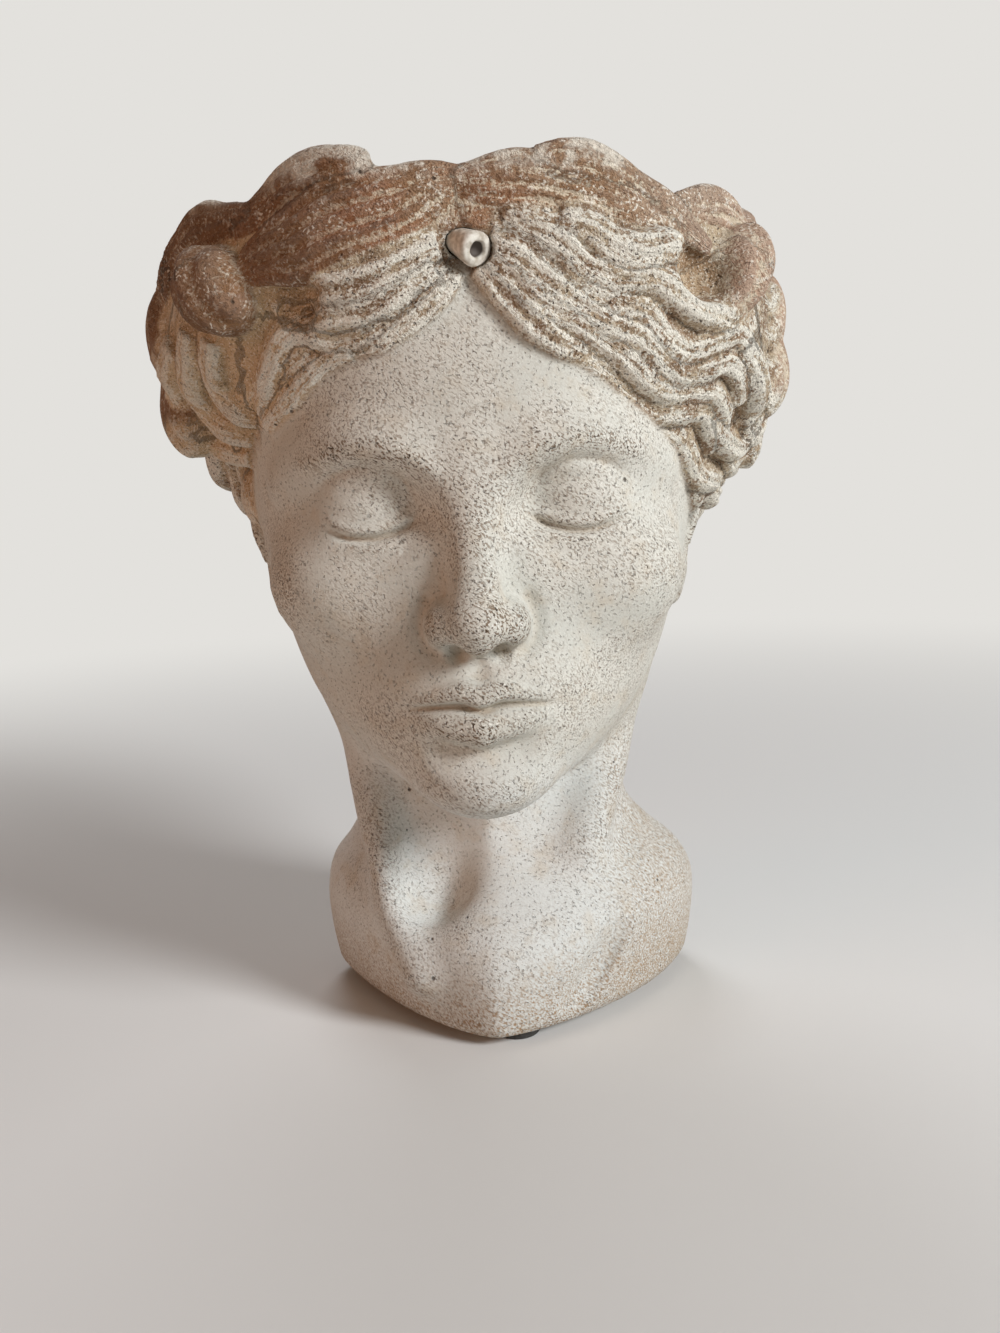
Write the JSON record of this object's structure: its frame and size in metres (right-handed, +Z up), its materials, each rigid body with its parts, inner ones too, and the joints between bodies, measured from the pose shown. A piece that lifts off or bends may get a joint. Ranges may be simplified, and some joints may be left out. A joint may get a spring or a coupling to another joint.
{
  "type": "head planter",
  "caption": "Hollow cement planter shaped as a calm classical head with parted wavy hair and a leaf wreath, on a small bust foot.",
  "frame": {"origin": "middle of the foot, on the surface that the planter stands on", "axes": "+Z up through the drain and the middle of the well, -Y where the face looks, +X to the right of someone who looks at the face"},
  "size_m": [0.1535, 0.1453, 0.1927],
  "materials": {
    "whitewashed_cement": "matte",
    "bead_stone": "satin",
    "plug_rubber": "matte",
    "pad_rubber": "matte"
  },
  "bodies": {
    "planter": {"cast_head": "whitewashed_cement", "parting_bead": "bead_stone", "foot_pad_front": "pad_rubber", "foot_pad_back": "pad_rubber", "foot_pad_left": "pad_rubber", "foot_pad_right": "pad_rubber"},
    "plug": {"drain_plug": "plug_rubber"}
  },
  "joints": [
    {"name": "plug_lift", "type": "slide", "parent": "planter", "child": "plug", "axis": [0, 0, 1], "range_m": [0, 0.16]}
  ]
}
